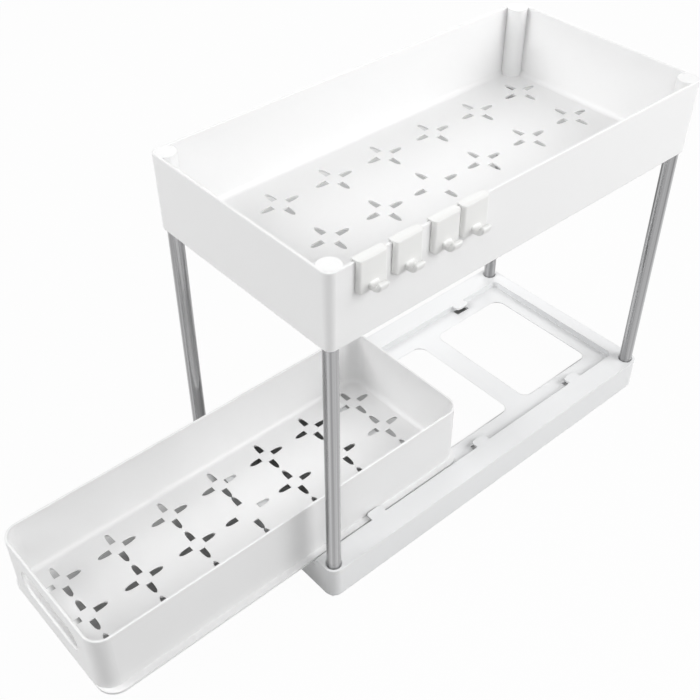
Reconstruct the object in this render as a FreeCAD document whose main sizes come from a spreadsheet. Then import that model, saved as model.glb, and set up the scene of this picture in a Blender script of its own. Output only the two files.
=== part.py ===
"""Two-tier under-sink organizer: moulded upper tray on four steel posts, moulded base with a sliding drawer,
and four hooks that hang on the tray's rim. Millimetres, +Z up, front (the drawer's pull side) at -Y.
The origin is the centre of the base's footprint, on the plane that the organizer stands on."""
import FreeCAD, Part
import math
import os
import types

import Sketcher

# Driving dimensions, each written once: name, millimetres, what it measures.
SIZES = [
    ("base_length", 402.0, "base, outside, front to rear"),
    ("base_width", 203.0, "base, outside, side to side"),
    ("base_height", 31.5, "base, floor to the top of its ledges"),
    ("base_corner", 9.5, "radius of the base's upright corners"),
    ("base_wall", 2.4, "skirt and ledge wall of the base"),
    ("side_ledge", 22.0, "ledge beside the channel, from the base's outer side"),
    ("channel_depth", 6.5, "ledge top down to the channel's plate"),
    ("channel_corner", 5.0, "radius of the channel's rear corners"),
    ("plate_thickness", 2.4, "plate under the drawer and top of the ledges"),
    ("rear_ledge", 14.0, "ledge behind the channel, front to rear"),
    ("ledge_corner", 4.0, "corner radius of the hollows under the side ledges"),
    ("opening_side", 19.0, "channel's side to an opening of the plate"),
    ("opening_front", 50.6, "base's front edge to the front opening"),
    ("opening_corner", 9.0, "corner radius of the plate's openings"),
    ("opening_bar", 23.3, "cross bar between two openings"),
    ("opening_rear", 30.0, "base's rear edge to the rear opening"),
    ("tab_length", 16.0, "retaining tab, along the channel"),
    ("tab_reach", 8.2, "retaining tab, from the ledge over the channel"),
    ("tab_thickness", 1.8, "retaining tab, under its flush top"),
    ("tab_corner", 2.0, "corner radius of the tab's free end"),
    ("tab_end", 71.4, "base's ends to the middle of the nearest tabs"),
    ("tab_core", 0.2, "margin of the core hole round the tab above it"),
    ("post_inset", 9.2, "base's outer sides to a post's axis"),
    ("post_diameter", 12.0, "steel post, outside"),
    ("post_tube_wall", 0.7, "steel post, wall of the tube"),
    ("post_length", 325.6, "steel post, end to end"),
    ("socket_clearance", 0.1, "post to its socket, on the radius"),
    ("socket_wall", 2.6, "wall of the base's sockets"),
    ("socket_floor", 3.0, "solid floor of the base's sockets"),
    ("socket_lead", 0.9, "chamfer round the mouth of a base socket"),
    ("foot_diameter", 12.6, "anti-slip pad under each socket"),
    ("foot_thickness", 1.2, "anti-slip pad, pressed flush with the skirt"),
    ("tray_inset", 0.4, "base's outer sides to the tray's rim, seen from above"),
    ("tray_height", 67.1, "upper tray, underside to rim"),
    ("tray_draft", 0.8, "degrees that the tray's walls lean in going down"),
    ("tray_wall", 2.4, "wall of the upper tray"),
    ("tray_floor", 2.4, "floor of the upper tray"),
    ("tray_corner", 7.0, "radius of the tray's corners at the rim"),
    ("tray_edge", 1.6, "round of the tray's lower edge"),
    ("tray_rim", 0.8, "round of the rim's outer edge"),
    ("tray_cap", 4.8, "closed top of a corner column above its post"),
    ("tray_cove", 5.0, "round between the tray's floor and walls"),
    ("column_radius", 9.0, "corner column inside the tray, about the post's axis"),
    ("column_bury", 1.3, "corner column's back, inside the tray's outer faces"),
    ("tray_star_side", 40.1, "tray's outer side to the outer stars"),
    ("tray_star_end", 31.2, "tray's front and rear to the end stars"),
    ("tray_petal_start", 7.2, "tray, star centre to a petal's blunt end"),
    ("drawer_stop", 16.5, "free channel behind the drawer when its front is level with the base's"),
    ("drawer_height", 61.4, "drawer, underside to rim"),
    ("drawer_wall", 2.2, "wall of the drawer"),
    ("drawer_floor", 2.4, "floor of the drawer and its runner flanges"),
    ("drawer_corner", 15.0, "radius of the drawer's upright corners"),
    ("drawer_cove", 5.0, "round between the drawer's floor and walls"),
    ("drawer_rim", 0.8, "round of the drawer rim's edges"),
    ("drawer_star_side", 28.6, "drawer's outer side to the outer stars"),
    ("drawer_star_end", 27.8, "drawer's front and rear to the end stars"),
    ("drawer_petal_start", 6.4, "drawer, star centre to a petal's blunt end"),
    ("runner_reach", 5.8, "runner flange beyond the drawer's side"),
    ("runner_gap", 3.7, "runner flange to the channel's side"),
    ("runner_corner", 16.0, "corner radius of the runner flange"),
    ("slide_clearance", 0.3, "drawer's runner above the plate"),
    ("drawer_out", 195.0, "drawer's front ahead of the base's front at rest"),
    ("handle_length", 84.0, "finger slot in the drawer's front, end to end"),
    ("handle_height", 27.0, "finger slot in the drawer's front, top to bottom"),
    ("handle_rise", 33.5, "drawer's underside to the middle of the slot"),
    ("petal_length", 12.0, "petal of a star, blunt end to tip"),
    ("petal_width", 5.2, "petal of a star, across its blunt end"),
    ("centre_spread", 5.0, "how much further out the centre star's petals are"),
    ("hook_width", 26.0, "hook plate along the rim"),
    ("hook_plate", 3.4, "hook plate, thickness"),
    ("hook_drop", 26.0, "hook plate below the rim's top"),
    ("hook_bridge", 2.2, "hook's bridge over the rim, thickness"),
    ("hook_leg", 11.0, "hook's inner leg below the rim's top"),
    ("hook_leg_wall", 1.8, "hook's inner leg, thickness"),
    ("hook_clearance", 0.3, "hook to the rim that it hangs on"),
    ("hook_corner", 3.0, "radius of the plate's lower corners"),
    ("hook_edge", 0.9, "round of the plate's outer edges"),
    ("peg_width", 9.0, "hook's peg along the rim"),
    ("peg_thickness", 4.0, "hook's peg, thickness below its throat"),
    ("peg_throat", 4.0, "radius of the round throat between the plate and the peg's end"),
    ("peg_root", 0.8, "how far the throat's round lies behind the plate's face"),
    ("peg_rise", 1.8, "plate's lower edge up to the peg's underside"),
    ("peg_tip", 1.0, "straight upturned end of the peg"),
    ("peg_round", 1.5, "round of the peg's edges"),
    ("hook_1_place", 36.0, "tray's front to the middle of hook 1"),
    ("hook_2_place", 68.4, "tray's front to the middle of hook 2"),
    ("hook_3_place", 103.8, "tray's front to the middle of hook 3"),
    ("hook_4_place", 132.1, "tray's front to the middle of hook 4"),
]
STAR_ROWS = 7        # stars from front to rear on each floor
OPENINGS = 3         # openings in the base's plate
TABS = 3             # retaining tabs along each side
COLUMN_BACK = 0.79   # how far into the tray's round corner a column's back reaches, of the corner's radius
TOLERANCE = 1e-4     # millimetres, for picking edges by their place


class Size:
    """A dimension as an expression on the sheet, with its value for a sketch's first shape."""

    def __init__(self, text, value):
        self.text = text
        self.value = value

    def __add__(self, other):
        other = as_size(other)
        return Size(f"({self.text} + {other.text})", self.value + other.value)

    def __sub__(self, other):
        other = as_size(other)
        return Size(f"({self.text} - {other.text})", self.value - other.value)

    def __mul__(self, factor):
        return Size(f"({self.text} * {factor})", self.value * factor)

    __rmul__ = __mul__

    def __truediv__(self, divisor):
        return Size(f"({self.text} / {divisor})", self.value / divisor)

    def __neg__(self):
        return Size(f"(-1 * {self.text})", -self.value)


def as_size(value):
    """A plain number counts as a size too."""
    return value if isinstance(value, Size) else Size(repr(float(value)), float(value))


doc = FreeCAD.newDocument("UnderSinkOrganizer")
sheet = doc.addObject("Spreadsheet::Sheet", "Sizes")
for row, (name, value, note) in enumerate(SIZES, start=1):
    sheet.set(f"A{row}", note)
    sheet.set(f"B{row}", str(value))
    sheet.setAlias(f"B{row}", name)
doc.recompute()
dim = types.SimpleNamespace(**{name: Size(f"Sizes.{name}", value) for name, value, note in SIZES})

# Sizes and places that several pieces share.
CHANNEL_WIDTH = dim.base_width - dim.side_ledge * 2
OPENING_WIDTH = CHANNEL_WIDTH - dim.opening_side * 2
OPENINGS_LENGTH = dim.base_length - dim.opening_rear - dim.opening_front
OPENING_LENGTH = (OPENINGS_LENGTH - dim.opening_bar * (OPENINGS - 1)) / OPENINGS
TAB_PITCH = (dim.base_length - dim.tab_end * 2) / (TABS - 1)
TRAY_WIDTH = dim.base_width - dim.tray_inset * 2
TRAY_LENGTH = dim.base_length - dim.tray_inset * 2
RUNNER_WIDTH = CHANNEL_WIDTH - dim.runner_gap * 2
DRAWER_WIDTH = RUNNER_WIDTH - dim.runner_reach * 2
DRAWER_LENGTH = dim.base_length - dim.rear_ledge - dim.drawer_stop
POST_X = dim.base_width / 2 - dim.post_inset
POST_Y = dim.base_length / 2 - dim.post_inset
SOCKET_RADIUS = dim.post_diameter / 2 + dim.socket_clearance
POST_BOTTOM = dim.foot_thickness + dim.socket_floor
POST_TOP = POST_BOTTOM + dim.post_length
TRAY_RIM_Z = POST_TOP + dim.tray_cap
TRAY_BOTTOM_Z = TRAY_RIM_Z - dim.tray_height
PLATE_Z = dim.base_height - dim.channel_depth
DRAWER_BOTTOM_Z = PLATE_Z + dim.slide_clearance
CORNERS = {
    "front_left": (-1, -1),
    "front_right": (1, -1),
    "rear_left": (-1, 1),
    "rear_right": (1, 1),
}


# Sketch helpers

def bind(thing, prop, size):
    """Tie one property to the sheet."""
    thing.setExpression(prop, as_size(size).text)


def new_body(label):
    return doc.addObject("PartDesign::Body", label)


def new_sketch(body, name, role, x=0.0, y=0.0, z=0.0):
    """A sketch on one of the body's own planes, moved in the plane (x, y) and off it (z)."""
    sketch = body.newObject("Sketcher::SketchObject", name)
    plane = next(f for f in body.Origin.OriginFeatures if f.Role == role)
    sketch.AttachmentSupport = [(plane, "")]
    sketch.MapMode = "FlatFace"
    for axis, size in (("x", x), ("y", y), ("z", z)):
        if as_size(size).value:
            bind(sketch, f"AttachmentOffset.Base.{axis}", size)
    return sketch


def constrain(sketch, kind, *values, size=None):
    """Add one constraint, bound to the sheet where it has a size."""
    if size is None:
        sketch.addConstraint(Sketcher.Constraint(kind, *values))
        return
    index = sketch.addConstraint(Sketcher.Constraint(kind, *values, size.value))
    bind(sketch, f"Constraints[{index}]", size)


def place_point(sketch, edge, point, x, y):
    """Fix a sketch point at (x, y) from the sketch's origin."""
    for kind, axis, size in (("DistanceX", -2, as_size(x)), ("DistanceY", -1, as_size(y))):
        if size.value:
            constrain(sketch, kind, -1, 1, edge, point, size=size)
        else:
            constrain(sketch, "PointOnObject", edge, point, axis)


def vector(x, y):
    return FreeCAD.Vector(as_size(x).value, as_size(y).value, 0)


def circle(sketch, x, y, radius):
    """A circle about (x, y)."""
    shape = Part.Circle(vector(x, y), FreeCAD.Vector(0, 0, 1), radius.value)
    edge = sketch.addGeometry(shape, False)
    place_point(sketch, edge, 3, x, y)
    constrain(sketch, "Radius", edge, size=radius)


def polygon(sketch, points):
    """Straight lines through points, closed."""
    edges = []
    for start, end in zip(points, points[1:] + points[:1]):
        edges.append(sketch.addGeometry(Part.LineSegment(vector(*start), vector(*end)), False))
    for edge, following, start in zip(edges, edges[1:] + edges[:1], points):
        constrain(sketch, "Coincident", edge, 2, following, 1)
        place_point(sketch, edge, 1, *start)


def add_arc(sketch, x, y, radius, start_degrees, end_degrees):
    """An arc about (x, y), turning from one direction to the other."""
    whole = Part.Circle(vector(x, y), FreeCAD.Vector(0, 0, 1), as_size(radius).value)
    arc = Part.ArcOfCircle(whole, math.radians(start_degrees), math.radians(end_degrees))
    return sketch.addGeometry(arc, False)


def rounded_rectangle(sketch, width, length, radius):
    """A rectangle with round corners about the sketch's origin."""
    x = width / 2 - radius
    y = length / 2 - radius
    centres = [(x, -y), (x, y), (-x, y), (-x, -y)]
    arcs = []
    for quarter, (cx, cy) in enumerate(centres):
        arcs.append(add_arc(sketch, cx, cy, radius, 90 * quarter - 90, 90 * quarter))
    for first, second in zip(arcs, arcs[1:] + arcs[:1]):
        start = sketch.Geometry[first].EndPoint
        end = sketch.Geometry[second].StartPoint
        side = sketch.addGeometry(Part.LineSegment(start, end), False)
        constrain(sketch, "Tangent", first, 2, side, 1)
        constrain(sketch, "Tangent", side, 2, second, 1)
    for arc, (cx, cy) in zip(arcs, centres):
        place_point(sketch, arc, 3, cx, cy)
    for arc in arcs[1:]:
        constrain(sketch, "Equal", arcs[0], arc)
    constrain(sketch, "Radius", arcs[0], size=radius)


def column(sketch, sx, sy):
    """A corner column: round about the post's axis towards the inside, buried in the walls behind."""
    wall_x = TRAY_WIDTH / 2 - dim.column_bury
    wall_y = TRAY_LENGTH / 2 - dim.column_bury
    back = dim.tray_corner * COLUMN_BACK
    radius = dim.column_radius
    reach_x = math.sqrt(radius.value ** 2 - (wall_y.value - POST_Y.value) ** 2)
    reach_y = math.sqrt(radius.value ** 2 - (wall_x.value - POST_X.value) ** 2)
    side = (sx * wall_x, sy * POST_Y)
    corner = (sx * (POST_X + back), sy * (POST_Y + back))
    end = (sx * POST_X, sy * wall_y)
    side_foot = (sx * wall_x, sy * (POST_Y - reach_y))
    end_foot = (sx * (POST_X - reach_x), sy * wall_y)
    chain = [side_foot, side, corner, end, end_foot]
    lines = []
    for start, stop in zip(chain, chain[1:]):
        lines.append(sketch.addGeometry(Part.LineSegment(vector(*start), vector(*stop)), False))
    for line, following, point in zip(lines, lines[1:], chain[1:]):
        constrain(sketch, "Coincident", line, 2, following, 1)
        place_point(sketch, following, 1, *point)
    constrain(sketch, "Vertical", lines[0])
    constrain(sketch, "Horizontal", lines[3])
    to_side = math.degrees(math.atan2(-sy * reach_y, sx * (wall_x - POST_X).value))
    to_end = math.degrees(math.atan2(sy * (wall_y - POST_Y).value, -sx * reach_x))
    mirrored = sx * sy < 0
    angles = (to_side, to_end) if mirrored else (to_end, to_side)
    face = add_arc(sketch, sx * POST_X, sy * POST_Y, radius, *angles)
    place_point(sketch, face, 3, sx * POST_X, sy * POST_Y)
    constrain(sketch, "Radius", face, size=radius)
    constrain(sketch, "Coincident", face, 1 if mirrored else 2, lines[0], 1)
    constrain(sketch, "Coincident", face, 2 if mirrored else 1, lines[3], 2)


def star(sketch, start, length, width):
    """Four petals about the sketch's origin: a blunt inner end and two curved sides that meet in a tip."""
    half = width / 2
    side_radius = (length.value ** 2 + half.value ** 2) / width.value
    sweep = math.degrees(math.asin(length.value / side_radius))
    tip = start + length
    for quarter in range(4):
        def turned(along, across):
            return [(along, across), (-across, along), (-along, -across), (across, -along)][quarter]

        turn = 90 * quarter
        low = turned(start, -half)
        high = turned(start, half)
        blunt = sketch.addGeometry(Part.LineSegment(vector(*high), vector(*low)), False)
        lower_centre = turned(start, as_size(side_radius) - half)
        upper_centre = turned(start, half - as_size(side_radius))
        lower = add_arc(sketch, *lower_centre, side_radius, turn - 90, turn - 90 + sweep)
        upper = add_arc(sketch, *upper_centre, side_radius, turn + 90 - sweep, turn + 90)
        constrain(sketch, "Coincident", blunt, 2, lower, 1)
        constrain(sketch, "Coincident", lower, 2, upper, 1)
        constrain(sketch, "Coincident", upper, 2, blunt, 1)
        constrain(sketch, "PointOnObject", lower, 3, blunt)
        constrain(sketch, "PointOnObject", upper, 3, blunt)
        place_point(sketch, blunt, 1, *high)
        place_point(sketch, blunt, 2, *low)
        place_point(sketch, lower, 2, *turned(tip, as_size(0.0)))


# Feature helpers

def pad(body, name, sketch, length, symmetric=False):
    feature = body.newObject("PartDesign::Pad", name)
    feature.Profile = sketch
    if symmetric:
        feature.SideType = "Symmetric"
    bind(feature, "Length", length)
    return feature


def pocket(body, name, sketch, length=None, upward=False):
    """A cut below the sketch, or above it; with no length it goes right through."""
    feature = body.newObject("PartDesign::Pocket", name)
    feature.Profile = sketch
    feature.Reversed = upward
    if length is None:
        feature.Type = "ThroughAll"
    else:
        bind(feature, "Length", length)
    return feature


def lean(body, name, feature, wanted, rim, reverse):
    """Draft the upright faces that pass the test, about the rim's level, so that they lean in going down."""
    doc.recompute()
    faces = enumerate(feature.Shape.Faces, start=1)
    picked = [f"Face{number}" for number, face in faces if wanted(face.BoundBox)]
    draft = body.newObject("PartDesign::Draft", name)
    draft.Base = (feature, picked)
    draft.NeutralPlane = (rim, [""])
    draft.Reversed = reverse
    bind(draft, "Angle", dim.tray_draft)
    return draft


def repeat(body, name, feature, sketch, directions):
    """A linear pattern; each direction is an axis of the sketch, its whole length and its count."""
    pattern = body.newObject("PartDesign::LinearPattern", name)
    pattern.Originals = [feature]
    for suffix, (axis, length, count) in zip(("", "2"), directions):
        setattr(pattern, f"Direction{suffix}", (sketch, [axis]))
        bind(pattern, f"Length{suffix}", length)
        setattr(pattern, f"Occurrences{suffix}", count)
    body.Tip = pattern
    return pattern


def edge_names(feature, wanted):
    """Names of the feature's edges whose bounding box passes the test."""
    doc.recompute()
    edges = enumerate(feature.Shape.Edges, start=1)
    return [f"Edge{number}" for number, edge in edges if wanted(edge.BoundBox)]


def soften(body, kind, name, feature, wanted, size):
    """A fillet or a chamfer on the edges that pass the test."""
    names = edge_names(feature, wanted)
    soft = body.newObject(f"PartDesign::{kind}", name)
    soft.Base = (feature, names)
    bind(soft, "Radius" if kind == "Fillet" else "Size", size)
    return soft


def level(z):
    """A test for edges that lie flat at one height."""
    return lambda box: abs(box.ZMin - z.value) < TOLERANCE and abs(box.ZMax - z.value) < TOLERANCE


def within(box, half_x, half_y):
    """Whether a box lies inside the given half-width and half-length about the origin."""
    inside_x = max(abs(box.XMin), abs(box.XMax)) < half_x.value
    inside_y = max(abs(box.YMin), abs(box.YMax)) < half_y.value
    return inside_x and inside_y


def cut_stars(body, floor_z, width, length, side_margin, end_margin, petal_start):
    """Three columns of star holes through a floor; the centre star's petals stand further out."""
    column = width / 2 - side_margin
    pitch = (length - end_margin * 2) / (STAR_ROWS - 1)
    front = pitch * ((STAR_ROWS - 1) // 2)
    shape = (dim.petal_length, dim.petal_width)
    side = new_sketch(body, "SideStar", "XY_Plane", x=-column, y=-front, z=floor_z)
    star(side, petal_start, *shape)
    side_cut = pocket(body, "SideStarCut", side)
    across = ("H_Axis", column * 2, 2)
    along = ("V_Axis", pitch * (STAR_ROWS - 1), STAR_ROWS)
    repeat(body, "SideStars", side_cut, side, [across, along])
    middle = new_sketch(body, "MiddleStar", "XY_Plane", y=-front, z=floor_z)
    star(middle, petal_start, *shape)
    middle_cut = pocket(body, "MiddleStarCut", middle)
    half_rows = (STAR_ROWS - 1) // 2
    front_half = ("V_Axis", pitch * (half_rows - 1), half_rows)
    rear_half = ("V_Axis", pitch * (half_rows + 1), 2)
    repeat(body, "MiddleStars", middle_cut, middle, [front_half, rear_half])
    centre = new_sketch(body, "CentreStar", "XY_Plane", z=floor_z)
    star(centre, petal_start + dim.centre_spread, *shape)
    body.Tip = pocket(body, "CentreStarCut", centre)


# Pieces

def make_base():
    """Base: a hollow moulding with a drawer channel, windows, retaining tabs and post sockets."""
    body = new_body("base_frame")
    half_channel = CHANNEL_WIDTH / 2
    outline = new_sketch(body, "Outline", "XY_Plane")
    rounded_rectangle(outline, dim.base_width, dim.base_length, dim.base_corner)
    pad(body, "Block", outline, dim.base_height)

    # The channel is open at the front, so its outline starts well ahead of the front skirt.
    lead = dim.channel_corner * 2
    channel_length = dim.base_length - dim.rear_ledge + lead
    channel_y = dim.base_length / 2 - dim.rear_ledge - channel_length / 2
    channel = new_sketch(body, "Channel", "XY_Plane", y=channel_y, z=dim.base_height)
    rounded_rectangle(channel, CHANNEL_WIDTH, channel_length, dim.channel_corner)
    pocket(body, "ChannelCut", channel, dim.channel_depth)

    inside_width = dim.base_width - dim.base_wall * 2
    inside_length = dim.base_length - dim.base_wall * 2
    hollow = new_sketch(body, "Hollow", "XY_Plane")
    rounded_rectangle(hollow, inside_width, inside_length, dim.base_corner - dim.base_wall)
    pocket(body, "HollowCut", hollow, PLATE_Z - dim.plate_thickness, upward=True)

    ledge_width = (inside_width - CHANNEL_WIDTH) / 2 - dim.base_wall
    ledge_x = half_channel + dim.base_wall + ledge_width / 2
    ledge_top = dim.base_height - dim.plate_thickness
    for side, sign in (("Left", -1), ("Right", 1)):
        ledge = new_sketch(body, f"{side}Ledge", "XY_Plane", x=sign * ledge_x)
        rounded_rectangle(ledge, ledge_width, inside_length, dim.ledge_corner)
        pocket(body, f"{side}LedgeCut", ledge, ledge_top, upward=True)

    sockets = new_sketch(body, "Sockets", "XY_Plane", z=dim.foot_thickness)
    for sx, sy in CORNERS.values():
        circle(sockets, sx * POST_X, sy * POST_Y, SOCKET_RADIUS + dim.socket_wall)
    pad(body, "SocketBosses", sockets, dim.base_height - dim.foot_thickness)
    bores = new_sketch(body, "Bores", "XY_Plane", z=dim.base_height)
    for sx, sy in CORNERS.values():
        circle(bores, sx * POST_X, sy * POST_Y, SOCKET_RADIUS)
    bored = pocket(body, "BoreCut", bores, dim.base_height - POST_BOTTOM)

    def socket_mouth(box):
        at_top = level(dim.base_height)(box)
        return at_top and abs(box.XLength - SOCKET_RADIUS.value * 2) < TOLERANCE

    soften(body, "Chamfer", "SocketLead", bored, socket_mouth, dim.socket_lead)

    opening_pitch = OPENING_LENGTH + dim.opening_bar
    first_y = dim.base_length / 2 - dim.opening_rear - OPENING_LENGTH / 2
    front_y = first_y - opening_pitch * (OPENINGS - 1)
    opening = new_sketch(body, "Opening", "XY_Plane", y=front_y, z=PLATE_Z)
    rounded_rectangle(opening, OPENING_WIDTH, OPENING_LENGTH, dim.opening_corner)
    opening_cut = pocket(body, "OpeningCut", opening)
    repeat(body, "Openings", opening_cut, opening,
           [("V_Axis", opening_pitch * (OPENINGS - 1), OPENINGS)])

    # Each tab reaches over the channel; the plate has a core hole below it, as a moulding must.
    front_tab = -(TAB_PITCH * ((TABS - 1) // 2))
    all_tabs = TAB_PITCH * (TABS - 1)
    core_reach = dim.tab_reach + dim.tab_core
    core_half = dim.tab_length / 2 + dim.tab_core
    cores = new_sketch(body, "Cores", "XY_Plane", y=front_tab, z=PLATE_Z)
    for sign in (-1, 1):
        edge_x = sign * half_channel
        inner_x = sign * (half_channel - core_reach)
        polygon(cores, [
            (edge_x, -core_half), (inner_x, -core_half),
            (inner_x, core_half), (edge_x, core_half),
        ])
    core_cut = pocket(body, "CoreCut", cores)
    repeat(body, "CoreHoles", core_cut, cores, [("V_Axis", all_tabs, TABS)])
    tab_half = dim.tab_length / 2
    root = half_channel + dim.base_wall / 2
    free = half_channel - dim.tab_reach
    tabs = new_sketch(body, "Tabs", "XY_Plane", y=front_tab, z=dim.base_height - dim.tab_thickness)
    for sign in (-1, 1):
        cut_x = sign * (free + dim.tab_corner)
        cut_y = tab_half - dim.tab_corner
        polygon(tabs, [
            (sign * root, -tab_half), (cut_x, -tab_half), (sign * free, -cut_y),
            (sign * free, cut_y), (cut_x, tab_half), (sign * root, tab_half),
        ])
    tab_pad = pad(body, "TabPad", tabs, dim.tab_thickness)
    repeat(body, "RetainingTabs", tab_pad, tabs, [("V_Axis", all_tabs, TABS)])
    return body


def make_tray():
    """Upper tray: a drafted box with corner columns that take the posts, and star holes in its floor."""
    body = new_body("upper_tray")
    floor_z = TRAY_BOTTOM_Z + dim.tray_floor
    outline = new_sketch(body, "Outline", "XY_Plane", z=TRAY_RIM_Z)
    rounded_rectangle(outline, TRAY_WIDTH, TRAY_LENGTH, dim.tray_corner)
    block = pad(body, "Block", outline, dim.tray_height)
    block.Reversed = True

    def upright(box):
        return box.ZLength > dim.tray_height.value / 2

    leaning = lean(body, "OuterDraft", block, upright, outline, True)
    soften(body, "Fillet", "LowerEdge", leaning, level(TRAY_BOTTOM_Z), dim.tray_edge)
    inside = new_sketch(body, "Inside", "XY_Plane", z=TRAY_RIM_Z)
    wall = dim.tray_wall * 2
    rounded_rectangle(inside, TRAY_WIDTH - wall, TRAY_LENGTH - wall, dim.tray_corner - dim.tray_wall)
    hollow = pocket(body, "InsideCut", inside, dim.tray_height - dim.tray_floor)

    def inner_upright(box):
        inner = within(box, TRAY_WIDTH / 2 - dim.tray_wall / 2, TRAY_LENGTH / 2 - dim.tray_wall / 2)
        return upright(box) and inner

    leaning_inside = lean(body, "InnerDraft", hollow, inner_upright, inside, False)
    coved = soften(body, "Fillet", "FloorCove", leaning_inside, level(floor_z), dim.tray_cove)
    soften(body, "Fillet", "RimEdges", coved, level(TRAY_RIM_Z), dim.tray_rim)
    columns = new_sketch(body, "Columns", "XY_Plane", z=TRAY_BOTTOM_Z + dim.tray_floor / 2)
    for sx, sy in CORNERS.values():
        column(columns, sx, sy)
    pad(body, "CornerColumns", columns, dim.tray_height - dim.tray_floor / 2)

    bores = new_sketch(body, "Bores", "XY_Plane", z=TRAY_BOTTOM_Z)
    for sx, sy in CORNERS.values():
        circle(bores, sx * POST_X, sy * POST_Y, SOCKET_RADIUS)
    pocket(body, "BoreCut", bores, POST_TOP - TRAY_BOTTOM_Z, upward=True)
    cut_stars(body, floor_z, TRAY_WIDTH, TRAY_LENGTH,
              dim.tray_star_side, dim.tray_star_end, dim.tray_petal_start)
    return body


def make_drawer():
    """Drawer: a thin-walled box on a floor that reaches out at both sides as runner flanges."""
    body = new_body("drawer")
    bind(body, "Placement.Base.y", DRAWER_LENGTH / 2 - dim.base_length / 2 - dim.drawer_out)
    bind(body, "Placement.Base.z", DRAWER_BOTTOM_Z)
    runner = new_sketch(body, "Runner", "XY_Plane")
    rounded_rectangle(runner, RUNNER_WIDTH, DRAWER_LENGTH, dim.runner_corner)
    pad(body, "RunnerPlate", runner, dim.drawer_floor)
    outline = new_sketch(body, "Outline", "XY_Plane")
    rounded_rectangle(outline, DRAWER_WIDTH, DRAWER_LENGTH, dim.drawer_corner)
    pad(body, "Block", outline, dim.drawer_height)
    inside = new_sketch(body, "Inside", "XY_Plane", z=dim.drawer_height)
    wall = dim.drawer_wall * 2
    rounded_rectangle(inside, DRAWER_WIDTH - wall, DRAWER_LENGTH - wall,
                      dim.drawer_corner - dim.drawer_wall)
    hollow = pocket(body, "InsideCut", inside, dim.drawer_height - dim.drawer_floor)

    def inner_floor(box):
        inside_walls = within(box, DRAWER_WIDTH / 2, DRAWER_LENGTH / 2)
        return level(dim.drawer_floor)(box) and inside_walls

    coved = soften(body, "Fillet", "FloorCove", hollow, inner_floor, dim.drawer_cove)
    soften(body, "Fillet", "RimEdges", coved, level(dim.drawer_height), dim.drawer_rim)

    slot = new_sketch(body, "FingerSlot", "XZ_Plane", y=dim.handle_rise, z=DRAWER_LENGTH / 2)
    end_radius = dim.handle_height / 2
    end_x = dim.handle_length / 2 - end_radius
    right = add_arc(slot, end_x, 0.0, end_radius, -90, 90)
    left = add_arc(slot, -end_x, 0.0, end_radius, 90, 270)
    for first, second in ((right, left), (left, right)):
        start = slot.Geometry[first].EndPoint
        end = slot.Geometry[second].StartPoint
        side = slot.addGeometry(Part.LineSegment(start, end), False)
        constrain(slot, "Tangent", first, 2, side, 1)
        constrain(slot, "Tangent", side, 2, second, 1)
    place_point(slot, right, 3, end_x, 0.0)
    place_point(slot, left, 3, -end_x, 0.0)
    constrain(slot, "Radius", right, size=end_radius)
    pocket(body, "FingerSlotCut", slot, dim.drawer_corner)
    cut_stars(body, dim.drawer_floor, DRAWER_WIDTH, DRAWER_LENGTH,
              dim.drawer_star_side, dim.drawer_star_end, dim.drawer_petal_start)
    return body


def make_post(label, sx, sy):
    """Post: a straight steel tube that stands in a base socket and ends in a tray column."""
    body = new_body(label)
    bind(body, "Placement.Base.x", sx * POST_X)
    bind(body, "Placement.Base.y", sy * POST_Y)
    bind(body, "Placement.Base.z", POST_BOTTOM)
    ring = new_sketch(body, "Ring", "XY_Plane")
    circle(ring, 0.0, 0.0, dim.post_diameter / 2)
    circle(ring, 0.0, 0.0, dim.post_diameter / 2 - dim.post_tube_wall)
    pad(body, "Tube", ring, dim.post_length)
    return body


def make_foot(label, sx, sy):
    """Foot: a soft disc stuck under a base socket."""
    foot = doc.addObject("Part::Cylinder", label)
    bind(foot, "Radius", dim.foot_diameter / 2)
    bind(foot, "Height", dim.foot_thickness)
    bind(foot, "Placement.Base.x", sx * POST_X)
    bind(foot, "Placement.Base.y", sy * POST_Y)
    return foot


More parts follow.
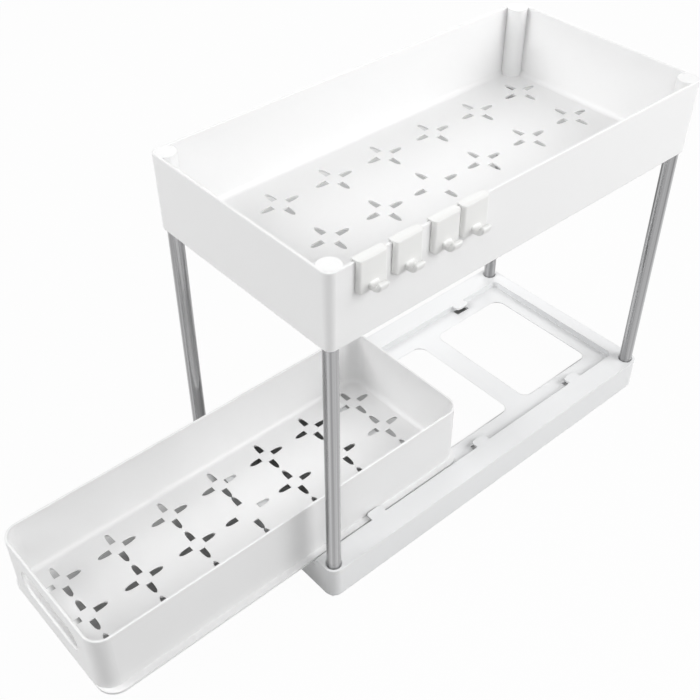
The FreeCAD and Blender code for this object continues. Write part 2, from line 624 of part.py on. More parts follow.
def make_hook(label, place):
    """Hook: a clip over the rim with a plate outside and an upturned peg on the plate."""
    body = new_body(label)
    bind(body, "Placement.Base.x", TRAY_WIDTH / 2)
    bind(body, "Placement.Base.y", place - TRAY_LENGTH / 2)
    bind(body, "Placement.Base.z", TRAY_RIM_Z)
    gap = dim.hook_clearance
    face = gap + dim.hook_plate
    inner = -(dim.tray_wall + gap)
    back = inner - dim.hook_leg_wall
    top = gap + dim.hook_bridge
    clip = new_sketch(body, "Clip", "XZ_Plane")
    polygon(clip, [
        (face, top), (back, top), (back, -dim.hook_leg), (inner, -dim.hook_leg),
        (inner, gap), (gap, gap), (gap, -dim.hook_drop), (face, -dim.hook_drop),
    ])
    clip_pad = pad(body, "ClipPad", clip, dim.hook_width, symmetric=True)

    def lower_corner(box):
        low = box.ZMax + dim.hook_drop.value < TOLERANCE
        return low and box.YLength < TOLERANCE

    cornered = soften(body, "Fillet", "PlateCorners", clip_pad, lower_corner, dim.hook_corner)

    def outer_edge(box):
        on_face = abs(box.XMin - face.value) < TOLERANCE and abs(box.XMax - face.value) < TOLERANCE
        on_top = level(top)(box) and box.YLength > dim.hook_width.value / 2
        return on_face or on_top

    soften(body, "Fillet", "OuterEdges", cornered, outer_edge, dim.hook_edge)

    # The peg is one outline: level below, round in its throat, and upturned at its end.
    low = dim.peg_rise - dim.hook_drop
    reach = dim.peg_throat + dim.peg_thickness
    throat_x = face + dim.peg_throat - dim.peg_root
    throat_z = low + reach
    buried = face - dim.peg_root / 2
    behind = (throat_x - buried).value / dim.peg_throat.value
    root_angle = math.degrees(math.acos(behind)) - 180
    root_z = throat_z + dim.peg_throat * math.sin(math.radians(root_angle))
    tip_z = throat_z + dim.peg_tip
    outline = new_sketch(body, "PegOutline", "XZ_Plane")
    under = add_arc(outline, throat_x, throat_z, reach, -90, 0)
    throat = add_arc(outline, throat_x, throat_z, dim.peg_throat, root_angle, 0)

    def line(start, end):
        return outline.addGeometry(Part.LineSegment(vector(*start), vector(*end)), False)

    floor = line((buried, low), (throat_x, low))
    outside = line((throat_x + reach, throat_z), (throat_x + reach, tip_z))
    end = line((throat_x + reach, tip_z), (throat_x + dim.peg_throat, tip_z))
    inside = line((throat_x + dim.peg_throat, tip_z), (throat_x + dim.peg_throat, throat_z))
    root = line((buried, root_z), (buried, low))
    place_point(outline, under, 3, throat_x, throat_z)
    constrain(outline, "Radius", under, size=reach)
    constrain(outline, "Coincident", throat, 3, under, 3)
    constrain(outline, "Radius", throat, size=dim.peg_throat)
    constrain(outline, "Tangent", floor, 2, under, 1)
    constrain(outline, "Tangent", under, 2, outside, 1)
    constrain(outline, "Coincident", outside, 2, end, 1)
    constrain(outline, "Horizontal", end)
    constrain(outline, "Coincident", end, 2, inside, 1)
    constrain(outline, "Tangent", inside, 2, throat, 2)
    constrain(outline, "Coincident", throat, 1, root, 1)
    constrain(outline, "Vertical", root)
    constrain(outline, "Coincident", root, 2, floor, 1)
    constrain(outline, "DistanceX", -1, 1, floor, 1, size=buried)
    constrain(outline, "DistanceY", outside, 1, outside, 2, size=dim.peg_tip)
    peg = pad(body, "Peg", outline, dim.peg_width, symmetric=True)

    def peg_edge(box):
        return box.XMax > face.value + TOLERANCE and box.YLength < dim.hook_width.value / 2

    body.Tip = soften(body, "Fillet", "PegEdges", peg, peg_edge, dim.peg_round)
    return body


def main():
    """Build every piece, test it and write it to parts/."""
    pieces = [make_base(), make_tray(), make_drawer()]
    for corner, (sx, sy) in CORNERS.items():
        pieces.append(make_post(f"post_{corner}", sx, sy))
        pieces.append(make_foot(f"foot_pad_{corner}", sx, sy))
    for number in (1, 2, 3, 4):
        pieces.append(make_hook(f"hook_{number}", getattr(dim, f"hook_{number}_place")))
    doc.recompute()
    failed = [o.Name for o in doc.Objects if "Invalid" in o.State or "Error" in o.State]
    if failed:
        raise RuntimeError(f"objects that failed: {failed}")
    for piece in pieces:
        shape = piece.Shape
        if shape.isNull() or not shape.isValid() or len(shape.Solids) != 1:
            raise RuntimeError(f"{piece.Label} is not one valid solid")
    os.makedirs("parts", exist_ok=True)
    for piece in pieces:
        piece.Shape.exportStep(f"parts/{piece.Label}.step")
        box = piece.Shape.BoundBox
        print(piece.Label, round(piece.Shape.Volume / 1000, 2), "cm3",
              [round(v, 2) for v in (box.XMin, box.YMin, box.ZMin, box.XMax, box.YMax, box.ZMax)])


main()
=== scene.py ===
# %% [markdown]
# # Under-sink organizer
# A moulded tray on four steel posts, a moulded base with a sliding drawer, and four hooks on the tray's
# rim. The CAD model gives every main shape and size. This lesson dresses it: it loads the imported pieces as
# a fixed frame, gives each one a finish built from shader nodes, refines copies of the mouldings, remakes
# the few pieces whose smooth roundness matters, and sets up a plain white studio with the camera where the
# photographer stood.

# %% Load the frame
import math

import bmesh
import bpy
from mathutils import Matrix, Vector


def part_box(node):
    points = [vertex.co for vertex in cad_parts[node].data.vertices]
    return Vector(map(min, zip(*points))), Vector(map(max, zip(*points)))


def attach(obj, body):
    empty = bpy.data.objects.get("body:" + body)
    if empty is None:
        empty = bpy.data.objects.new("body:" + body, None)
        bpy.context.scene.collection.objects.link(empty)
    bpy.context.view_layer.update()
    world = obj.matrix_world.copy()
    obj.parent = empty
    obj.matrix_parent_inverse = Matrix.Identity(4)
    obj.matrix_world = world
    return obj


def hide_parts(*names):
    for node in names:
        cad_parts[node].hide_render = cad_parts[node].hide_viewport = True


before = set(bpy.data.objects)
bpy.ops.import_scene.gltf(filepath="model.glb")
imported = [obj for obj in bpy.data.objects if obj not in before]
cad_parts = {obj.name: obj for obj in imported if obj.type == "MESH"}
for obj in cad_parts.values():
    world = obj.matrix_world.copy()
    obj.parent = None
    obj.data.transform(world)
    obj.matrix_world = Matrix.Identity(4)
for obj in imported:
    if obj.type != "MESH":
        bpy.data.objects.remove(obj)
scene = bpy.context.scene
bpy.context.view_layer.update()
MM = 0.001
print("nodes:", sorted(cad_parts))

# %% [markdown]
# ## Camera
# The photograph was taken from above the front right corner. A camera can be placed by eye, or solved from
# the straight edges of the object. Here it was solved: the tray, base and posts give edges in three
# directions, and their vanishing points fix the turn, the tilt and the lens. The numbers below are that
# solution.

# %% Camera from the photograph
PHOTO_PIXELS = 700
FOCAL_PIXELS = 1067.8
SENSOR_WIDTH = 36.0
NEAREST_SEEN = 0.01
AZIMUTH = math.radians(48.62)
ELEVATION = math.radians(41.10)
CAMERA_PLACE = Vector((0.5095, -0.5417, 0.7379))

camera_data = bpy.data.cameras.new("photo_camera")
camera_data.sensor_width = SENSOR_WIDTH
camera_data.lens = FOCAL_PIXELS / PHOTO_PIXELS * SENSOR_WIDTH
camera_data.clip_start = NEAREST_SEEN
camera = bpy.data.objects.new("photo_camera", camera_data)
scene.collection.objects.link(camera)
camera.location = CAMERA_PLACE
camera.rotation_euler = (math.pi / 2 - ELEVATION, 0.0, AZIMUTH)
scene.camera = camera
print("lens", round(camera_data.lens, 2), "mm")

# %% [markdown]
# ## A small shader language
# Shader graphs are easier to read as sums than as wires. `Wire` holds one output of a node, and arithmetic
# on it adds Math nodes. `Finish` owns one node tree: its `add` method makes any other node from a type,
# settings and socket values.

# %% Wire and Finish


class Wire:
    """One output socket of a finish's node tree, usable in sums."""

    def __init__(self, finish, socket):
        self.finish = finish
        self.socket = socket

    def __add__(self, other):
        return self.finish.math("ADD", self, other)

    def __radd__(self, other):
        return self.finish.math("ADD", other, self)

    def __rsub__(self, other):
        return self.finish.math("SUBTRACT", other, self)

    def __mul__(self, other):
        return self.finish.math("MULTIPLY", self, other)

    def __rmul__(self, other):
        return self.finish.math("MULTIPLY", other, self)


class Finish:
    """A node tree built from sums: a new material's, or one that is given."""

    def __init__(self, name, tree=None):
        self.material = None
        if tree is None:
            self.material = bpy.data.materials.new(name)
            self.material.use_nodes = True
            tree = self.material.node_tree
        self.tree = tree
        self.tree.nodes.clear()

    def add(self, kind, settings=None, sockets=None, output=0):
        """A node of one type: settings first, then the values or wires of its sockets."""
        node = self.tree.nodes.new(kind)
        for key, value in (settings or {}).items():
            setattr(node, key, value)
        for key, value in (sockets or {}).items():
            if isinstance(value, Wire):
                self.tree.links.new(value.socket, node.inputs[key])
            else:
                node.inputs[key].default_value = value
        return Wire(self, node.outputs[output]) if node.outputs else None

    def math(self, operation, first, second):
        return self.add("ShaderNodeMath", {"operation": operation}, {0: first, 1: second})

    def place(self, scale=(1.0, 1.0, 1.0)):
        """Object coordinates in metres, stretched by a scale."""
        coordinates = self.add("ShaderNodeTexCoord", output="Object")
        return self.add("ShaderNodeMapping", None, {"Vector": coordinates, "Scale": scale})

    def axes(self):
        """The three Object coordinates as wires, in metres."""
        coordinates = self.add("ShaderNodeTexCoord", output="Object")
        split = self.add("ShaderNodeSeparateXYZ", None, {"Vector": coordinates}).socket.node
        return [Wire(self, output) for output in split.outputs]

    def ramp(self, value, low, high):
        """0 at low and 1 at high, a smooth rise between them, flat beyond; low may be the larger."""
        sockets = {"Value": value, "From Min": low, "From Max": high}
        return self.add("ShaderNodeMapRange", {"interpolation_type": "SMOOTHSTEP"}, sockets)

    def step(self, value, low, high):
        """A ramp between two places in millimetres."""
        return self.ramp(value, low * MM, high * MM)

    def noise(self, scale, detail=2.0, stretch=(1.0, 1.0, 1.0)):
        """Noise from 0 to 1; a scale of 1000 gives grains of about a millimetre."""
        sockets = {"Vector": self.place(stretch), "Scale": scale, "Detail": detail}
        return self.add("ShaderNodeTexNoise", None, sockets)

    def between(self, low, high, factor):
        """A colour between two colours."""
        sockets = {"Factor": factor, "A": (*low, 1.0), "B": (*high, 1.0)}
        return self.add("ShaderNodeMix", {"data_type": "RGBA"}, by_type(sockets), output=2)

    def shown(self):
        """1 on rays that show the background: from the camera, or by way of metal or glass."""
        path = self.add("ShaderNodeLightPath").socket.node
        names = ("Is Camera Ray", "Is Glossy Ray", "Is Transmission Ray")
        camera_ray, glossy_ray, clear_ray = [Wire(self, path.outputs[name]) for name in names]
        return self.math("MAXIMUM", camera_ray, self.math("MAXIMUM", glossy_ray, clear_ray))

    def finish(self, shader):
        self.add("ShaderNodeOutputMaterial", None, {"Surface": shader})
        return self.material


def by_type(sockets):
    """The Mix node's colour sockets by number, since its names repeat for each data type."""
    numbers = {"Factor": 0, "A": 6, "B": 7}
    return {numbers[name]: value for name, value in sockets.items()}


def grey(value):
    """A grey as the four numbers of a colour socket."""
    return (value, value, value, 1.0)


# %% [markdown]
# ## White moulded plastic
# The tray, base, drawer and hooks are injection-moulded polypropylene: white, satin, very slightly mottled
# where the melt cooled at different speeds, with a spark-eroded texture too fine to see as grains but enough
# to spread the highlights. A mirror-smooth white would look like glazed china. Moulded edges are never
# knife-sharp either, so the Bevel node rounds the shading of every edge by a fraction of a millimetre.

# %% Plastic finish
CLOUD_SCALE = 9.0
CLOUD_LIFT = 1.02
SHEEN_SCALE = 70.0
SATIN = 0.34
SATIN_SPREAD = 0.12
GRAIN_SCALE = 1500.0
GRAIN_STRENGTH = 0.06
GRAIN_HEIGHT = 0.15 * MM
PLASTIC_IOR = 1.49
EDGE_RADIUS = 0.6 * MM
HOOK_EDGE_RADIUS = 1.0 * MM
BEVEL_SAMPLES = 6


def moulded_plastic(name, shade, edge_radius=EDGE_RADIUS):
    """Satin white plastic; shade is its colour where the melt is densest."""
    made = Finish(name)
    cloud = made.noise(CLOUD_SCALE, detail=3.0)
    pale = tuple(value * CLOUD_LIFT for value in shade)
    sheen = made.noise(SHEEN_SCALE, detail=3.0)
    grain = made.noise(GRAIN_SCALE)
    soft_edge = made.add("ShaderNodeBevel", {"samples": BEVEL_SAMPLES}, {"Radius": edge_radius})
    normal = made.add("ShaderNodeBump", None, {
        "Strength": GRAIN_STRENGTH,
        "Distance": GRAIN_HEIGHT,
        "Height": grain,
        "Normal": soft_edge,
    })
    shader = made.add("ShaderNodeBsdfPrincipled", None, {
        "Base Color": made.between(shade, pale, cloud),
        "Roughness": SATIN + SATIN_SPREAD * sheen,
        "IOR": PLASTIC_IOR,
        "Normal": normal,
    })
    return made.finish(shader)


tray_white = moulded_plastic("tray_white", (0.85, 0.85, 0.85))
base_white = moulded_plastic("base_white", (0.82, 0.825, 0.83))
drawer_white = moulded_plastic("drawer_white", (0.82, 0.82, 0.82))
hook_white = moulded_plastic("hook_white", (0.81, 0.81, 0.80), HOOK_EDGE_RADIUS)
print("plastic finishes:", [m.name for m in (tray_white, base_white, drawer_white, hook_white)])

# %% [markdown]
# ## Polished tube
# The posts are thin stainless tube. Drawing and polishing leave fine lines along the tube, so the noise is
# stretched lengthwise: it varies quickly round the tube and hardly at all along it. The noise gives those
# lines their roughness and bump, and it also paints the base colour in dark and bright lengthwise streaks,
# which are painted reflections of the room.

# %% Steel finish
STREAK_STRETCH = (300.0, 300.0, 1.0)
# the two colours of the painted reflections: dark and bright streaks in the tube's base colour
DARK_PAINTED_REFLECTION = (0.04, 0.04, 0.04)
BRIGHT_PAINTED_REFLECTION = (0.76, 0.76, 0.77)
STREAK_STRENGTH = 0.05
STREAK_HEIGHT = 0.1 * MM
POLISH = 0.12
POLISH_SPREAD = 0.10
HAZE_SCALE = 30.0
HAZE_SPREAD = 0.05

steel = Finish("post_steel")
polish_lines_and_painted_reflections = steel.noise(1.0, stretch=STREAK_STRETCH)
haze = steel.noise(HAZE_SCALE)
steel_bump = steel.add("ShaderNodeBump", None, {
    "Strength": STREAK_STRENGTH,
    "Distance": STREAK_HEIGHT,
    "Height": polish_lines_and_painted_reflections,
})
steel_shader = steel.add("ShaderNodeBsdfPrincipled", None, {
    # painted reflections: the streak noise paints the base colour from dark to bright
    "Base Color": steel.between(DARK_PAINTED_REFLECTION, BRIGHT_PAINTED_REFLECTION, polish_lines_and_painted_reflections),
    "Metallic": 1.0,
    "Roughness": POLISH + POLISH_SPREAD * polish_lines_and_painted_reflections + HAZE_SPREAD * haze,
    "Normal": steel_bump,
})
post_steel = steel.finish(steel_shader)
print("steel finish:", post_steel.name)

# %% [markdown]
# ## Rubber
# The pads under the base are soft grey rubber with a matt, slightly dusty surface.

# %% Rubber finish
DUST_SCALE = 220.0
CLEAN_RUBBER = (0.30, 0.30, 0.30)
DUSTY_RUBBER = (0.40, 0.40, 0.39)
DUST_STRENGTH = 0.2
DUST_HEIGHT = 0.2 * MM
MATT = 0.7
MATT_SPREAD = 0.2

rubber = Finish("foot_rubber")
dust = rubber.noise(DUST_SCALE, detail=4.0)
rubber_bump = rubber.add("ShaderNodeBump", None, {
    "Strength": DUST_STRENGTH,
    "Distance": DUST_HEIGHT,
    "Height": dust,
})
rubber_shader = rubber.add("ShaderNodeBsdfPrincipled", None, {
    "Base Color": rubber.between(CLEAN_RUBBER, DUSTY_RUBBER, dust),
    "Roughness": MATT + MATT_SPREAD * dust,
    "Normal": rubber_bump,
})
foot_rubber = rubber.finish(rubber_shader)
print("rubber finish:", foot_rubber.name)

# %% [markdown]
# ## Copies to dress
# The moulded pieces need small changes of form, such as the draft of a hole. A mesh from CAD is never
# changed, so each piece is copied, and the copy takes its place.

# %% A helper for copies


def copy_of(node, name, body, material):
    """A copy of a CAD node that stands for it, in one material; its mesh is free to change."""
    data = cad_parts[node].data.copy()
    data.name = name
    data.materials.clear()
    data.materials.append(material)
    piece = bpy.data.objects.new(name, data)
    scene.collection.objects.link(piece)
    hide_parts(node)
    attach(piece, body)
    return data


# %% [markdown]
# ## Openings of the base
# A moulded opening has draft: it widens downwards, so that the tool's core comes out. Seen from above, the
# plate then ends in a thin edge and hardly shows its thickness. Each point on an opening's lower outline
# moves straight out from the outline: the outline is a rounded rectangle, so that is away from the nearest
# point of a rectangle which is smaller by the corner's radius.
#
# The drawer hides the front of the plate, but its drain holes let one look through: bright where a bar of
# the plate lies below, dark over an opening. They show the bar behind the front opening further forward
# than CAD has it, and the middle opening longer, so those outlines move and the plate is filled anew
# between them.

# %% Place and draft the openings
OPENING_CORE = Vector((51.5, 36.8)) * MM
OPENING_CORNER = 9.0 * MM
FRONT_MIDDLE = -104.6 * MM
CENTRE_MIDDLE = 10.3 * MM
REAR_MIDDLE = 125.2 * MM
OPENING_MIDDLES = (FRONT_MIDDLE, CENTRE_MIDDLE, REAR_MIDDLE)
FORWARD = 24.0 * MM
OPENING_DRAFT = 2.0 * MM
PLATE_TOP = 25.0 * MM
PLATE_UNDERSIDE = 22.6 * MM
SLACK = 0.05 * MM


def way_out(point, middle):
    """The way from an opening's core to a point of its outline; None off the outline."""
    away = Vector((point.x, point.y - middle))
    nearest = [max(-core, min(core, value)) for core, value in zip(OPENING_CORE, away)]
    out = away - Vector(nearest)
    return out if abs(out.length - OPENING_CORNER) < SLACK else None


def shape_opening(point, middle):
    """Move a point if it is on the outline of the opening about a middle; say whether it is."""
    out = way_out(point, middle)
    if out is None:
        return False
    if middle == FRONT_MIDDLE or (middle == CENTRE_MIDDLE and point.y < middle):
        point.y -= FORWARD
    if abs(point.z - PLATE_UNDERSIDE) < SLACK:
        out *= OPENING_DRAFT / out.length
        point.x += out.x
        point.y += out.y
    return True


def is_level(face, height):
    """Whether all of a face lies at one height."""
    return all(abs(vert.co.z - height) < SLACK for vert in face.verts)


def fill_plate(mesh, height):
    """Fill the plate's face at one height anew between its outlines; its area in square metres."""
    flat = [face for face in mesh.faces if is_level(face, height)]
    looks = flat[0].normal.copy()
    inside = set(flat)
    rims = [edge for edge in mesh.edges if sum(face in inside for face in edge.link_faces) == 1]
    bmesh.ops.delete(mesh, geom=flat, context="FACES_KEEP_BOUNDARY")
    filled = bmesh.ops.triangle_fill(mesh, use_beauty=True, edges=rims, normal=looks)
    return sum(part.calc_area() for part in filled["geom"] if isinstance(part, bmesh.types.BMFace))


base_data = copy_of("base_frame", "base_shell", "rack", base_white)
plate = bmesh.new()
plate.from_mesh(base_data)
shaped = 0
for vert in plate.verts:
    if PLATE_UNDERSIDE - SLACK < vert.co.z < PLATE_TOP + SLACK:
        shaped += any(shape_opening(vert.co, middle) for middle in OPENING_MIDDLES)
plate_areas = [fill_plate(plate, height) for height in (PLATE_TOP, PLATE_UNDERSIDE)]
plate.to_mesh(base_data)
plate.free()
print("points of the openings moved:", shaped, "plate's faces, square metres:", plate_areas)

# %% [markdown]
# ## Drain holes
# Each floor has three columns of seven stars. In CAD a petal is a blunt end and two arcs that meet in a
# sharp tip. A moulding tool rounds that tip, and the petal looks like a bullet. The points of each petal's
# outline slide a little towards the tip and out to the side, so the outline keeps its ends and its length.
# These holes have draft too.
#
# A floor's layout is three lengths in millimetres: from the middle to an outer column, from the middle to
# an end row, and from a star's centre to a petal's blunt end.

# %% Round the petals' tips
TRAY_STARS = (61.0, 169.4, 7.2)
DRAWER_STARS = (41.4, 157.95, 6.4)
STAR_ROWS = 7
PETAL_LENGTH = 12.0 * MM
HALF_PETAL = 2.6 * MM
CENTRE_SPREAD = 5.0 * MM
TIP_PULL = 0.6
TIP_POWER = 3
SIDE_DRAFT = 1.6 * MM
END_DRAFT = 1.0 * MM
FLOOR_DEPTH = 3.0 * MM
END_SLACK = 0.01
ON_AXIS = 0.001 * MM


def star_places(node, side, end, start):
    """Each star's centre and the way to its petals, which stand further out in the centre star."""
    low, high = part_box(node)
    middle = (low + high) / 2
    half_rows = STAR_ROWS // 2
    places = []
    for column in (-1, 0, 1):
        for row in range(-half_rows, half_rows + 1):
            spread = CENTRE_SPREAD if column == 0 and row == 0 else 0.0
            centre = middle + Vector((column * side, row * end / half_rows, 0.0)) * MM
            places.append((centre, start * MM + spread))
    return places


def round_petal(point, centre, start, underside):
    """Move a point of one star's outlines to the rounded outline; False if it isn't on one."""
    away = point - centre
    long_way = 0 if abs(away.x) > abs(away.y) else 1
    across = away[1 - long_way]
    along = (abs(away[long_way]) - start) / PETAL_LENGTH
    if not -END_SLACK < along < 1.0 + END_SLACK or abs(across) > HALF_PETAL + SLACK:
        return False
    along += TIP_PULL * along * (1.0 - along)
    half_width = HALF_PETAL + SIDE_DRAFT * underside
    first = start - END_DRAFT * underside
    way = first + along * (start + PETAL_LENGTH - first)
    aside = half_width * math.sqrt(max(0.0, 1.0 - along ** TIP_POWER))
    if abs(across) < ON_AXIS:
        aside = 0.0
    point[long_way] = centre[long_way] + math.copysign(way, away[long_way])
    point[1 - long_way] = centre[1 - long_way] + math.copysign(aside, across)
    return True


def round_stars(data, node, layout):
    """Round all the petals in a floor, on both its faces."""
    floor_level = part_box(node)[0].z
    places = star_places(node, *layout)
    moved = 0
    for vert in data.vertices:
        height = vert.co.z - floor_level
        if height < FLOOR_DEPTH:
            underside = height < FLOOR_DEPTH / 2
            moved += any(round_petal(vert.co, *place, underside) for place in places)
    return moved


tray_data = copy_of("upper_tray", "tray_shell", "rack", tray_white)
drawer_data = copy_of("drawer", "drawer_shell", "drawer", drawer_white)
print("tray points moved:", round_stars(tray_data, "upper_tray", TRAY_STARS))
print("drawer points moved:", round_stars(drawer_data, "drawer", DRAWER_STARS))

# %% [markdown]
# ## Hooks
# A hook in CAD keeps a fitting gap to the tray, which a lamp turns into a black line behind the plate. A
# real hook hangs by its own weight with the plate against the wall, so the back of the copy's plate goes
# out to the tray's side. Its bridge over the rim is thin. Its upright edges are rounded nearly to the wall:
# the points of the CAD model's small round keep their angle, and so their normals, and move out to a larger
# round.

# %% Hang the hooks close to the wall and soften their edges
CLOSE_FIT = 0.02 * MM
FITTING_GAP = 0.35 * MM
ABOVE_RIM = 1.0 * MM
BRIDGE_DROP = 1.2 * MM
CAD_ROUND = 0.9 * MM
SOFT_ROUND = 2.9 * MM
PLATE_CORNER = 3.0 * MM
FACE = 3.71 * MM
HAIR = 0.01 * MM
tray_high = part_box("upper_tray")[1]
HOOKS = [name for name in sorted(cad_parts) if name.startswith("hook_")]


def soften_edge(point, low, high):
    """Move a point on the small round of a plate's edge to the larger round; less at a corner."""
    face = tray_high.x + FACE
    near_low = point.y - low.y < high.y - point.y
    aside = point.y - low.y if near_low else high.y - point.y
    inward = 1.0 if near_low else -1.0
    below = max(0.0, low.z + PLATE_CORNER - point.z)
    depth = aside
    out_y, out_z = 1.0, 0.0
    if below > 0.0:
        reach = math.hypot(PLATE_CORNER - aside, below)
        depth = PLATE_CORNER - reach
        out_y = (PLATE_CORNER - aside) / reach
        out_z = below / reach
    if aside > PLATE_CORNER or depth > CAD_ROUND + HAIR:
        return False
    if not face - CAD_ROUND - HAIR <= point.x <= face + HAIR:
        return False
    share = out_y ** 2
    cosine = min(1.0, max(0.0, 1.0 - depth / CAD_ROUND))
    round_x = face - SOFT_ROUND + SOFT_ROUND * math.sqrt(1.0 - cosine ** 2)
    move = share * max(0.0, depth) * (SOFT_ROUND / CAD_ROUND - 1.0)
    point.x += share * (round_x - point.x)
    point.y += inward * out_y * move
    point.z += out_z * move
    return True


def hang_close(node):
    """A copy of a hook: plate against the tray's side, thin bridge, soft upright edges."""
    data = copy_of(node, node.replace("hook", "hanger"), node, hook_white)
    low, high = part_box(node)
    moved = 0
    for vert in data.vertices:
        point = vert.co
        moved += soften_edge(point, low, high)
        if point.z > tray_high.z + ABOVE_RIM:
            point.z -= BRIDGE_DROP
        elif point.z < tray_high.z and 0.0 < point.x - tray_high.x < FITTING_GAP:
            point.x = tray_high.x + CLOSE_FIT
    return moved


print("points moved on each hook's edges:", [hang_close(hook) for hook in HOOKS])

# %% [markdown]
# ## Posts
# A polished tube shows every facet of a coarse mesh in its reflections, so the tubes are remade: the tube's
# wall in section is a few points, and one turn of Spin about the post's axis makes the tube with rounded
# ends.

# %% Spin a turned piece
POST_STEPS = 72
TUBE_WALL = 0.7 * MM
END_ROUND = 0.2 * MM
WELD = 0.001 * MM
SHARP_ANGLE = math.radians(35)
UPRIGHT = (0, 0, 1)


def turned_piece(name, profile, centre, steps, material):
    """Spin a closed section of (radius, height) points about an upright axis through centre."""
    mesh = bmesh.new()
    points = [mesh.verts.new((centre.x + radius, centre.y, height)) for radius, height in profile]
    edges = [mesh.edges.new(pair) for pair in zip(points, points[1:] + points[:1])]
    turn = {"cent": centre, "axis": UPRIGHT, "angle": math.tau, "steps": steps, "use_merge": True}
    bmesh.ops.spin(mesh, geom=points + edges, **turn)
    bmesh.ops.remove_doubles(mesh, verts=mesh.verts, dist=WELD)
    bmesh.ops.recalc_face_normals(mesh, faces=mesh.faces)
    for face in mesh.faces:
        face.smooth = True
    data = bpy.data.meshes.new(name)
    mesh.to_mesh(data)
    mesh.free()
    data.set_sharp_from_angle(angle=SHARP_ANGLE)
    data.materials.append(material)
    piece = bpy.data.objects.new(name, data)
    scene.collection.objects.link(piece)
    return piece


for node in [name for name in sorted(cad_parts) if name.startswith("post_")]:
    low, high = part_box(node)
    axis = (low + high) / 2
    outer = (high.x - low.x) / 2
    inner = outer - TUBE_WALL
    section = [
        (inner + END_ROUND, low.z), (outer - END_ROUND, low.z), (outer, low.z + END_ROUND),
        (outer, high.z - END_ROUND), (outer - END_ROUND, high.z), (inner + END_ROUND, high.z),
        (inner, high.z - END_ROUND), (inner, low.z + END_ROUND),
    ]
    tube = turned_piece(node.replace("post", "tube"), section, axis, POST_STEPS, post_steel)
    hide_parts(node)
    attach(tube, "rack")
print("tubes with", POST_STEPS, "steps")

# %% [markdown]
# ## Foot pads
# Nobody sees the pads until the organizer is turned over. They are discs with a softly rounded edge and one
# shallow ring groove in the sole, again turned from a section. The groove's four places are shares of the
# pad's radius.

# %% Foot pads
PAD_STEPS = 48
PAD_BORE = 0.4 * MM
PAD_ROUND = 0.35 * MM
PAD_ROUND_MIDDLE = 0.1 * MM
GROOVE_DEPTH = 0.35 * MM
GROOVE_PLACES = ((0.45, 0.0), (0.5, GROOVE_DEPTH), (0.62, GROOVE_DEPTH), (0.67, 0.0))
for node in [name for name in sorted(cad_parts) if name.startswith("foot_pad_")]:
    low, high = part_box(node)
    axis = (low + high) / 2
    radius = (high.x - low.x) / 2
    groove = [(radius * share, low.z + depth) for share, depth in GROOVE_PLACES]
    section = [
        (PAD_BORE, low.z), *groove, (radius - PAD_ROUND, low.z),
        (radius - PAD_ROUND_MIDDLE, low.z + PAD_ROUND_MIDDLE), (radius, low.z + PAD_ROUND),
        (radius, high.z), (PAD_BORE, high.z),
    ]
    pad = turned_piece(node.replace("foot_pad", "sole"), section, axis, PAD_STEPS, foot_rubber)
    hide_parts(node)
    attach(pad, "rack")
print("pads with", PAD_STEPS, "steps")

# %% [markdown]
# ## Studio floor
# The photograph has a white background and hardly any shadow. To the camera, and to rays that reach it by
# way of a reflection, the paper is white. To the light of the lamps it is plain grey paper, so it doesn't
# throw much light back up at the lower pieces.
#
# Under the drawer, a hand's breadth from any light, paper goes dark. The Ambient Occlusion node measures
# how much of the sky a point of the floor sees within a short reach; where little is seen, the white glow
# gives way to grey paper in the lamps' own light and shade, so that shade follows the drawer as long as it
# stays over its part of the floor. The tray stands too high for that, so its wide soft shadow to the rear
# left is a painted shadow: a plain patch of grey paper with soft edges. A patch is given by its left,
# right, front and rear sides and the width of its soft edge, in millimetres.

# %% Floor
FLOOR_SIZE = 8.0
FLOOR_DROP = 0.2 * MM
PAPER_BOUNCE = 0.5
SHADOW_GREY = 0.50
SHADOW_SHARE = 0.03
SHADE_REACH = 60.0 * MM
SHADE_CLEAR = 0.95
SHADE_DARK = 0.55
SHADE_SAMPLES = 8
UNDER_DRAWER = (-150.0, 44.0, -376.0, 0.0, 8.0)
UNDER_LEFT_LEDGE = (-102.0, -85.0, -200.0, 200.0, 2.0)
UNDER_RIGHT_LEDGE = (43.0, 100.0, -200.0, 200.0, 2.0)
PAINTED_TRAY_SHADOW = (-450.0, -145.0, -5.0, 660.0, 80.0)

floor_mesh = bmesh.new()
bmesh.ops.create_grid(floor_mesh, x_segments=2, y_segments=2, size=FLOOR_SIZE / 2)
bmesh.ops.translate(floor_mesh, verts=floor_mesh.verts, vec=(0, 0, -FLOOR_DROP))
floor_data = bpy.data.meshes.new("studio_floor")
floor_mesh.to_mesh(floor_data)
floor_mesh.free()
floor = bpy.data.objects.new("studio_floor", floor_data)
scene.collection.objects.link(floor)

paper = Finish("studio_paper")
floor_x, floor_y = paper.axes()[:2]


def patch(left, right, front, rear, soft):
    """1 inside a rectangle of the floor, with soft edges."""
    across = paper.step(floor_x, left, left + soft) * paper.step(floor_x, right, right - soft)
    along = paper.step(floor_y, front, front + soft) * paper.step(floor_y, rear, rear - soft)
    return across * along


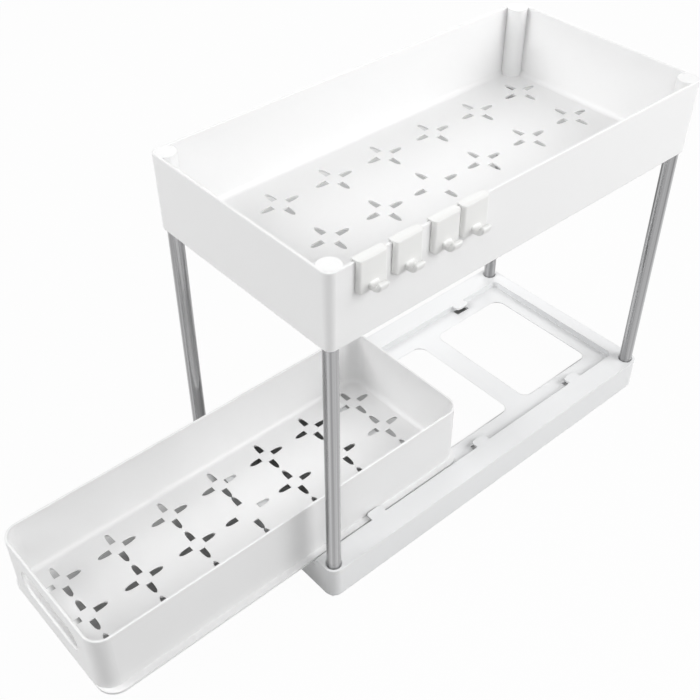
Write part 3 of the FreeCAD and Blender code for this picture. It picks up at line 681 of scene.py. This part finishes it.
ao_settings = {"samples": SHADE_SAMPLES}
open_sky = paper.add("ShaderNodeAmbientOcclusion", ao_settings, {"Distance": SHADE_REACH}, output="AO")
near_shade = paper.ramp(open_sky, SHADE_CLEAR, SHADE_DARK)
ledges = patch(*UNDER_LEFT_LEDGE) + patch(*UNDER_RIGHT_LEDGE)
low_shadow = near_shade * paper.math("MAXIMUM", patch(*UNDER_DRAWER), ledges)
# the tray's shadow is painted: a fixed patch of grey paper behind the tray
shadow = paper.math("MAXIMUM", low_shadow, patch(*PAINTED_TRAY_SHADOW))
lit = (1.0 - SHADOW_SHARE) * (1.0 - shadow)
glow = paper.add("ShaderNodeEmission", None, {"Color": grey(1.0), "Strength": 1.0})
matt = paper.add("ShaderNodeBsdfDiffuse", None, {"Color": grey(SHADOW_GREY)})
bounce = paper.add("ShaderNodeBsdfDiffuse", None, {"Color": grey(PAPER_BOUNCE)})
picture = paper.add("ShaderNodeMixShader", None, {0: lit, 1: matt, 2: glow})
floor_shader = paper.add("ShaderNodeMixShader", None, {0: paper.shown(), 1: bounce, 2: picture})
floor_data.materials.append(paper.finish(floor_shader))
print("floor of", FLOOR_SIZE, "metres")

# %% [markdown]
# ## World
# The world is the same white where it is seen, and as a light it only fills the darkest shadows.

# %% World
FILL = 0.04
world = bpy.data.worlds.new("studio_world")
scene.world = world
world.use_nodes = True
sky = Finish("studio_sky", world.node_tree)
sky_background = sky.add("ShaderNodeBackground", None, {
    "Color": grey(1.0),
    "Strength": FILL + (1.0 - FILL) * sky.shown(),
})
sky.add("ShaderNodeOutputWorld", None, {"Surface": sky_background})
print("world fill:", FILL)

# %% [markdown]
# ## Lamps
# Soft light comes from two sides, and the side towards the camera is the darkest, which is why the upright
# corners that face it show a grey band. Big square area lamps stand in for the softboxes. Each has a place,
# a size in metres and a power in watts.

# %% Lamps
LOOK_AT = Vector((0.0, -0.05, 0.15))
SOFTBOXES = [
    ("left_softbox", (-0.9, -1.9, 1.6), 1.4, 39.0),
    ("right_softbox", (1.7, 0.9, 1.6), 1.4, 29.2),
    ("right_rear_softbox", (1.25, 1.43, 0.9), 1.4, 14.0),
    ("camera_softbox", (1.4, -1.2, 1.6), 1.4, 12.5),
    ("rear_softbox", (-1.4, 1.2, 1.2), 1.4, 12.2),
    ("top_softbox", (0.0, 0.0, 2.0), 2.2, 3.8),
]


def softbox(name, place, size, power):
    """A square area lamp that looks at the middle of the object."""
    lamp = bpy.data.lights.new(name, "AREA")
    lamp.shape = "SQUARE"
    lamp.size = size
    lamp.energy = power
    stand = bpy.data.objects.new(name, lamp)
    scene.collection.objects.link(stand)
    place = Vector(place)
    facing = (LOOK_AT - place).to_track_quat("-Z", "Y")
    stand.matrix_world = Matrix.Translation(place) @ facing.to_matrix().to_4x4()


for softbox_values in SOFTBOXES:
    softbox(*softbox_values)
scene.view_settings.view_transform = "Standard"
print("lamps:", len(SOFTBOXES))
